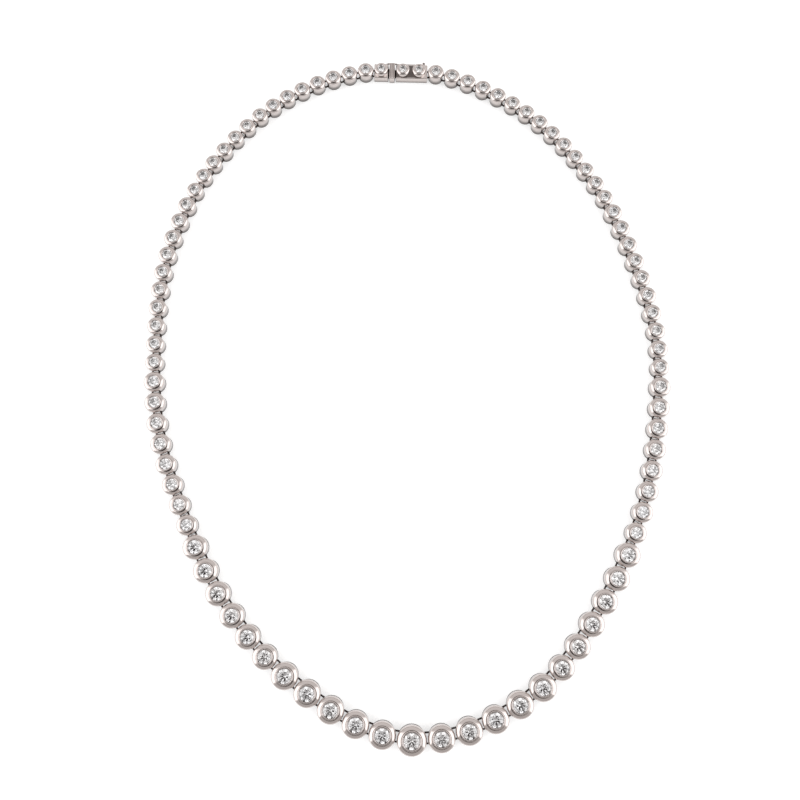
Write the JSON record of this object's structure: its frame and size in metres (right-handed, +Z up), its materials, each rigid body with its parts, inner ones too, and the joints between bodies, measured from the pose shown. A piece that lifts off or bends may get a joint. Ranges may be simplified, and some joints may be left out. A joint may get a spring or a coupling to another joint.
{
  "type": "diamond necklace",
  "caption": "Graduated line necklace of round stones in polished rub-over settings, hinged in a loop and closed by a box clasp with a side catch.",
  "frame": {"origin": "middle of the necklace's outline on the surface it lies on, at the height of the base rings", "axes": "+Y from the front of the necklace to its clasp, +X to the right as seen from above with the clasp away from the viewer, +Z up through the stones' tables"},
  "size_m": [0.1192, 0.1606, 0.0045],
  "materials": {
    "collet_metal": "polished white gold",
    "diamond": "clear, brilliant cut",
    "clasp_metal": "polished white gold, fine wear",
    "catch_wire": "polished white gold wire"
  },
  "bodies": {
    "necklace": {"collet_centre": "collet_metal", "stone_centre": "diamond", "collet_right_1": "collet_metal", "collet_right_2": "collet_metal", "collet_right_3": "collet_metal", "collet_right_4": "collet_metal", "collet_right_5": "collet_metal", "collet_right_6": "collet_metal", "collet_right_7": "collet_metal", "collet_right_8": "collet_metal", "collet_right_9": "collet_metal", "collet_left_1": "collet_metal", "collet_left_2": "collet_metal", "collet_left_3": "collet_metal", "collet_left_4": "collet_metal", "collet_left_5": "collet_metal", "collet_left_6": "collet_metal", "collet_left_7": "collet_metal", "collet_left_8": "collet_metal", "collet_left_9": "collet_metal", "stone_right_1": "diamond", "stone_right_2": "diamond", "stone_right_3": "diamond", "stone_right_4": "diamond", "stone_right_5": "diamond", "stone_right_6": "diamond", "stone_right_7": "diamond", "stone_right_8": "diamond", "stone_right_9": "diamond", "stone_left_1": "diamond", "stone_left_2": "diamond", "stone_left_3": "diamond", "stone_left_4": "diamond", "stone_left_5": "diamond", "stone_left_6": "diamond", "stone_left_7": "diamond", "stone_left_8": "diamond", "stone_left_9": "diamond", "collets_right": "collet_metal", "collets_left": "collet_metal", "stones_right": "diamond", "stones_left": "diamond", "clasp_box": "clasp_metal", "clasp_tongue": "clasp_metal", "clasp_stones": "diamond"},
    "catch": {"safety_catch": "catch_wire"}
  },
  "joints": [
    {"name": "catch_hinge", "type": "hinge", "parent": "necklace", "child": "catch", "pos_m": [0.00423, 0.07965, 0.00095], "axis": [0, 0, -1], "range_deg": [0, 120]}
  ]
}
